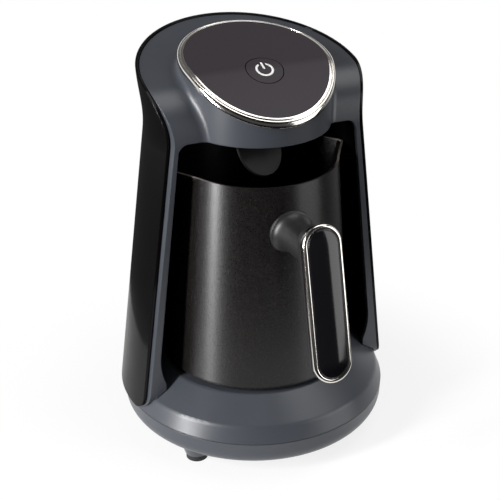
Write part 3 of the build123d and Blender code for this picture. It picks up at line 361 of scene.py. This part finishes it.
# %% Give out the finishes
finish_of = {
    graphite_abs: ["base_tray", "base_cover", "front_frame"],
    gloss_black: ["outer_shell"],
    lining_black: ["cavity_wall", "head_plate"],
    insert_black: ["handle_insert"],
    black_abs: ["handle_boss", "handle_grip", "terminal_block", "relay", "buzzer", "switch_body",
                "wire_harness"],
    panel_acrylic: ["control_panel", "button_cap"],
    window_acrylic: ["sensor_window"],
    white_abs: ["power_icon", "status_led", "thermal_fuse"],
    pot_coat: ["pot_body"],
    chrome: ["trim_ring", "handle_trim"],
    plate_metal: ["hot_plate"],
    zinc_steel: ["base_screws", "head_screws", "board_screws", "handle_screw", "heating_element",
                 "heat_shield", "thermostat", "thermostat_bracket", "capacitor"],
    foot_rubber: ["rubber_feet", "cord_gland"],
    board_laminate: ["power_board", "switch_board", "sensor_board"],
}


def dress(node_name, material):
    """Gives a solid of the frame one material."""
    mesh = nodes[node_name].data
    mesh.materials.clear()
    mesh.materials.append(material)


for material, names in finish_of.items():
    for node_name in names:
        dress(node_name, material)
print("dressed", sum(len(names) for names in finish_of.values()), "of", len(nodes))

# %% [markdown]
# ## Turning a bmesh into a piece of the machine
# Each new piece is shaped in a bmesh, straight in its own place, so its object
# stays at the origin. One function hands it over: it gives the finish, smooths
# the shading, puts the piece on its moving body and says which solid it stands
# for.

# %% Hand over a piece
merge_mm = 0.01  # points this close are one point


def make_piece(name, shape, material, body, node_name):
    """Makes a bmesh into a finished piece that stands for one solid."""
    bmesh.ops.remove_doubles(shape, verts=shape.verts, dist=merge_mm * MM)
    bmesh.ops.recalc_face_normals(shape, faces=shape.faces)
    for face in shape.faces:
        face.smooth = True
    mesh = bpy.data.meshes.new(name)
    shape.to_mesh(mesh)
    shape.free()
    mesh.materials.append(material)
    piece = bpy.data.objects.new(name, mesh)
    scene.collection.objects.link(piece)
    rounder = piece.modifiers.new("rounded", "SUBSURF")
    rounder.levels = 1
    rounder.render_levels = 1
    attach(piece, body)
    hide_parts(node_name)
    print("made", name, "with", len(mesh.polygons), "faces for", node_name)


# %% [markdown]
# ## The face of the head
# The panel and the ring round it are bent about the X axis. The side view of
# that face is a straight line at the back, a short bend, and a long, almost
# straight nose. One function gives its height, and the ring follows it.

# %% Height of the face
head_middle_y = -4.1
bend_start_y, bend_start_z = -9.0, 216.34
back_slope, nose_slope = math.radians(13.5), math.radians(28.4)
bend_radius, nose_radius = 26.0, 400.0
bend_end_y = bend_start_y - bend_radius * (math.sin(nose_slope) - math.sin(back_slope))
bend_end_z = bend_start_z - bend_radius * (math.cos(back_slope) - math.cos(nose_slope))


def face_height(y):
    """Height of the panel's face in mm, at a distance from front to back."""
    if y >= bend_start_y:
        return bend_start_z + (y - bend_start_y) * math.tan(back_slope)
    start_y, start_z, slope, radius = (
        (bend_start_y, bend_start_z, back_slope, bend_radius) if y >= bend_end_y
        else (bend_end_y, bend_end_z, nose_slope, nose_radius))
    turned = math.sin(slope) + (start_y - y) / radius
    return start_z - radius * (math.cos(slope) - math.sqrt(1 - turned ** 2))


report("the face falls from back to front in mm", face_height(34.0) - face_height(-42.0))

# %% [markdown]
# ## Chrome ring
# The ring is one moulding with three lands: a sloped band next to the panel, a
# narrow groove, and a rounded bead that covers the top of the drum. Chrome shows
# every facet, so it isn't left as the plain solid. It is a lathe shape first: a
# profile of a few points is spun a full turn, and then each point drops onto the
# bent face. A lathe plus a bend is easier to keep smooth than a sweep.

# %% Chrome ring
ring_profile = [
    (38.0, 1.80), (38.0, 0.15), (38.1, 0.03), (38.3, 0.02), (39.55, 0.28), (39.75, 0.38),
    (39.8, 0.90), (40.05, 0.90), (40.1, 0.42), (40.3, 0.34), (40.8, 0.50), (41.2, 0.85),
    (41.4, 1.35), (41.5, 2.10), (41.5, 3.05), (41.4, 3.12), (40.9, 3.12), (39.4, 1.90),
]
panel_longer_front, panel_longer_back = 0.86, 0.36  # the panel's oval against a circle
oval_ends_at, oval_fades_over = 40.0, 2.0           # the ring's outer edge is a true circle
ring_shape = bmesh.new()
ring_points = [ring_shape.verts.new((r * MM, 0.0, -drop * MM)) for r, drop in ring_profile]
ring_edges = [ring_shape.edges.new((a, b)) for a, b in zip(ring_points, ring_points[1:] + ring_points[:1])]
bmesh.ops.spin(
    ring_shape, geom=ring_points + ring_edges, cent=(0, 0, 0), axis=(0, 0, 1),
    angle=math.tau, steps=144, use_merge=True)
for point in ring_shape.verts:
    reach = point.co.xy.length / MM
    along = point.co.y / MM / reach
    inner_share = min(1.0, max(0.0, (oval_ends_at - reach) / oval_fades_over))
    longer = (panel_longer_front if along < 0 else panel_longer_back) * along ** 2 * inner_share
    point.co.xy *= (reach + longer) / reach
    point.co.y += head_middle_y * MM
    point.co.z += face_height(point.co.y / MM) * MM
make_piece("trim_ring_plated", ring_shape, chrome, "root", "trim_ring")

# %% [markdown]
# ## The grip's frame and inlay
# The grip leans, with its lower end away from the pot. Its chrome frame and its
# black inlay are both long ovals: half a circle at each end of a straight run.
# Each starts as a filled circle, whose upper and lower halves are moved apart,
# and grows by extruding and insetting its face, so the edges come out rounded.

# %% Place on the grip
grip_lean = math.radians(14.9)
grip_y, grip_z = -94.43, 116.35
holding_loop = 0.4  # keeps the rim at the back crisp when the surface is rounded
grip_frame = Matrix((
    (1, 0, 0, 0.0),
    (0, math.sin(grip_lean), -math.cos(grip_lean), grip_y * MM),
    (0, math.cos(grip_lean), math.sin(grip_lean), grip_z * MM),
    (0, 0, 0, 1),
))


def long_oval(length_mm, width_mm, depth_mm):
    """A bmesh with one filled long oval at a depth, and that face."""
    around = 72
    shape = bmesh.new()
    half_step = Matrix.Rotation(math.pi / around, 4, "Z")
    bmesh.ops.create_circle(
        shape, cap_ends=True, segments=around, radius=width_mm / 2 * MM, matrix=half_step)
    apart = (length_mm - width_mm) / 2 * MM
    for point in shape.verts:
        point.co.y += math.copysign(apart, point.co.y)
        point.co.z = depth_mm * MM
    return shape, next(iter(shape.faces))


def step_in(shape, face, inward_mm, up_mm):
    """Insets a face, and raises it: one step of a rounded edge."""
    bmesh.ops.inset_region(
        shape, faces=[face], thickness=inward_mm * MM, depth=up_mm * MM, use_even_offset=True)


def grow(shape, face, by_mm):
    """Extrudes a face straight up and returns the new one."""
    result = bmesh.ops.extrude_face_region(shape, geom=[face])
    points = [item for item in result["geom"] if isinstance(item, bmesh.types.BMVert)]
    bmesh.ops.translate(shape, verts=points, vec=(0, 0, by_mm * MM))
    return next(item for item in result["geom"] if isinstance(item, bmesh.types.BMFace))


report("grip leans by degrees", math.degrees(grip_lean))

# %% Chrome frame of the grip
frame_length, frame_width, frame_back = 82.0, 21.5, -4.1
frame_side, frame_hollow = 2.4, 1.9
frame_steps = ((0.18, 0.55), (0.42, 0.42), (0.6, 0.22), (0.5, 0.02), (0.4, -0.14), (0.24, -0.45))
frame_shape, frame_face = long_oval(frame_length, frame_width, frame_back)
frame_face = grow(frame_shape, frame_face, holding_loop)
frame_face = grow(frame_shape, frame_face, frame_side)
for inward, up in frame_steps:
    step_in(frame_shape, frame_face, inward, up)
grow(frame_shape, frame_face, -frame_hollow)
bmesh.ops.transform(frame_shape, matrix=grip_frame, verts=frame_shape.verts)
make_piece("handle_trim_plated", frame_shape, chrome, "pot", "handle_trim")

# %% Black inlay of the grip
inlay_length, inlay_width, inlay_back = 76.9, 16.4, -2.3
inlay_side = 1.7
inlay_steps = ((0.12, 0.22), (0.3, 0.16))
crown_mm = 1.1
cut_half_width, cut_half_length = 7, 37  # whole mm, just inside the face
cut_reach_mm = 0.001                     # a cut this close to a point goes through it
inlay_shape, inlay_face = long_oval(inlay_length, inlay_width, inlay_back)
inlay_face = grow(inlay_shape, inlay_face, holding_loop)
inlay_face = grow(inlay_shape, inlay_face, inlay_side)
for inward, up in inlay_steps:
    step_in(inlay_shape, inlay_face, inward, up)
top_level = inlay_face.calc_center_median().z - merge_mm * MM


def cut_top(axis, at_mm):
    """Cuts the inlay's top face across, so that it can be crowned."""
    top = [item for item in inlay_shape.faces if item.calc_center_median().z > top_level]
    edges = dict.fromkeys(edge for item in top for edge in item.edges)
    points = dict.fromkeys(point for item in top for point in item.verts)
    bmesh.ops.bisect_plane(
        inlay_shape, geom=[*top, *edges, *points], dist=cut_reach_mm * MM,
        plane_co=Vector(axis) * at_mm * MM, plane_no=axis)


for at_mm in range(-cut_half_width, cut_half_width + 1):
    cut_top((1, 0, 0), at_mm)
for at_mm in range(-cut_half_length, cut_half_length + 1, 2):
    cut_top((0, 1, 0), at_mm)
half_width = inlay_width / 2 - sum(inward for inward, up in inlay_steps)
straight = (inlay_length - inlay_width) / 2
for point in inlay_shape.verts:
    if point.co.z > top_level:
        past_straight = max(0.0, abs(point.co.y / MM) - straight)
        edge_share = math.hypot(point.co.x / MM, past_straight) / half_width
        point.co.z += crown_mm * MM * max(0.0, 1.0 - edge_share ** 2)
bmesh.ops.transform(inlay_shape, matrix=grip_frame, verts=inlay_shape.verts)
make_piece(
    "handle_insert_crowned", inlay_shape, insert_black, "pot", "handle_insert")

# %% [markdown]
# ## Floor, light and background
# The machine stands on a plain sheet of white paper. A tall strip lamp on the
# left draws the long highlights, a broad one fills from the right, and one
# overhead lights the deck. Near the machine the paper keeps a share of its own
# shading, so the shadow shows. The world is white to the camera, and so is what
# metal and gloss mirror from low down behind the machine. On the camera's side,
# higher up, and below the edge of the paper, the studio is dark, which keeps gloss
# black deep.

# %% Floor
paper_radius, shade_radius = 200 * MM, 95 * MM
shade_ends = paper_radius * 0.97
floor_bmesh = bmesh.new()
bmesh.ops.create_circle(floor_bmesh, cap_ends=True, segments=128, radius=paper_radius)
floor_mesh = bpy.data.meshes.new("floor")
floor_bmesh.to_mesh(floor_mesh)
floor_bmesh.free()
floor = bpy.data.objects.new("floor", floor_mesh)
scene.collection.objects.link(floor)
floor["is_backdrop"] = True
floor_paint, floor_tree, floor_shader = start_material("white studio paper, matt", {
    "Base Color": linear("#F4F4F4"), "Roughness": 0.9, "Specular IOR Level": 0.0})
paper_place = add_node(floor_tree, "ShaderNodeTexCoord")
paper_reach = add_node(floor_tree, "ShaderNodeVectorMath", {
    0: paper_place.outputs["Object"]}, operation="LENGTH")
paper_fade = add_node(floor_tree, "ShaderNodeMapRange", {
    "Value": paper_reach.outputs["Value"], "From Min": shade_radius, "From Max": shade_ends,
    "To Min": 0.8, "To Max": 1.0}, interpolation_type="SMOOTHSTEP")
seen_by = add_node(floor_tree, "ShaderNodeLightPath")
seen_directly = add_node(floor_tree, "ShaderNodeMath", {
    0: seen_by.outputs["Is Camera Ray"], 1: seen_by.outputs["Is Glossy Ray"]}, operation="MAXIMUM")
seen_at_all = add_node(floor_tree, "ShaderNodeMath", {
    0: seen_directly.outputs["Value"], 1: seen_by.outputs["Is Transmission Ray"]}, operation="MAXIMUM")
paper_share = add_node(floor_tree, "ShaderNodeMath", {
    0: seen_at_all.outputs["Value"], 1: paper_fade.outputs["Result"]}, operation="MULTIPLY")
paper_white = add_node(floor_tree, "ShaderNodeEmission", {"Color": linear("#FFFFFF"), "Strength": 1.0})
paper_look = add_node(floor_tree, "ShaderNodeMixShader", {
    0: paper_share.outputs["Value"], 1: floor_shader.outputs["BSDF"], 2: paper_white.outputs["Emission"]})
floor_end = next(node for node in floor_tree.nodes if node.type == "OUTPUT_MATERIAL")
floor_tree.links.new(paper_look.outputs["Shader"], floor_end.inputs["Surface"])
floor_mesh.materials.append(floor_paint)
print("floor", floor.name)


# %% Lamps
def soft_lamp(name, where_mm, aim_mm, size_mm, watts):
    """A rectangular soft lamp that looks at a point."""
    data = bpy.data.lights.new(name, "AREA")
    data.shape = "RECTANGLE"
    data.size = size_mm[0] * MM
    data.size_y = size_mm[1] * MM
    data.energy = watts
    lamp = bpy.data.objects.new(name, data)
    scene.collection.objects.link(lamp)
    place = Vector(where_mm) * MM
    away = place - Vector(aim_mm) * MM
    lamp.matrix_world = Matrix.Translation(place) @ away.to_track_quat("Z", "Y").to_matrix().to_4x4()


soft_lamp("left strip lamp", (-1075, -250, 440), (0, 0, 110), (150, 900), 27.0)
soft_lamp("right soft lamp", (740, -670, 330), (0, 0, 110), (640, 800), 4.4)
soft_lamp("overhead lamp", (400, -110, 1150), (0, 0, 120), (700, 850), 5.0)

# %% World
world = bpy.data.worlds.new("studio")
scene.world = world
world.use_nodes = True
sky = world.node_tree
sky.nodes.clear()
dark_studio, high_up, fill_light = 0.06, 0.12, 0.12
way = add_node(sky, "ShaderNodeTexCoord")
split_way = add_node(sky, "ShaderNodeSeparateXYZ", {"Vector": way.outputs["Generated"]})
behind = add_node(sky, "ShaderNodeMapRange", {
    "Value": split_way.outputs["Y"], "From Min": -0.35, "From Max": 0.45,
    "To Min": dark_studio, "To Max": 1.0}, interpolation_type="SMOOTHSTEP")
low_down = add_node(sky, "ShaderNodeMapRange", {
    "Value": split_way.outputs["Z"], "From Min": 0.2, "From Max": 0.58,
    "To Min": 1.0, "To Max": high_up}, interpolation_type="SMOOTHSTEP")
above_floor = add_node(sky, "ShaderNodeMapRange", {
    "Value": split_way.outputs["Z"], "From Min": -0.3, "From Max": -0.06,
    "To Min": dark_studio, "To Max": 1.0}, interpolation_type="SMOOTHSTEP")
band_of_light = add_node(sky, "ShaderNodeMath", {
    0: above_floor.outputs["Result"], 1: low_down.outputs["Result"]}, operation="MULTIPLY")
backdrop = add_node(sky, "ShaderNodeMath", {
    0: behind.outputs["Result"], 1: band_of_light.outputs["Value"]}, operation="MULTIPLY")
ray = add_node(sky, "ShaderNodeLightPath")
mirror_ray = add_node(sky, "ShaderNodeMath", {
    0: ray.outputs["Is Glossy Ray"], 1: ray.outputs["Is Transmission Ray"]}, operation="MAXIMUM")
seen = add_node(sky, "ShaderNodeMix", {
    "Factor": mirror_ray.outputs["Value"], "A": fill_light,
    "B": backdrop.outputs["Value"]}, data_type="FLOAT")
strength = add_node(sky, "ShaderNodeMix", {
    "Factor": ray.outputs["Is Camera Ray"], "A": seen.outputs["Result"], "B": 1.0}, data_type="FLOAT")
light_of_sky = add_node(sky, "ShaderNodeBackground", {
    "Color": linear("#FFFFFF"), "Strength": strength.outputs["Result"]})
add_node(sky, "ShaderNodeOutputWorld", {"Surface": light_of_sky.outputs["Background"]})
scene.view_settings.view_transform = "Standard"
print("world", world.name)

# %% [markdown]
# ## Measure and finish
# The dressed machine must keep the size of its solids, so the height of each box is printed.

# %% Sizes and the last call
visual_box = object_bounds()
report("visual height in mm", (visual_box[1][2] - visual_box[0][2]) / MM)
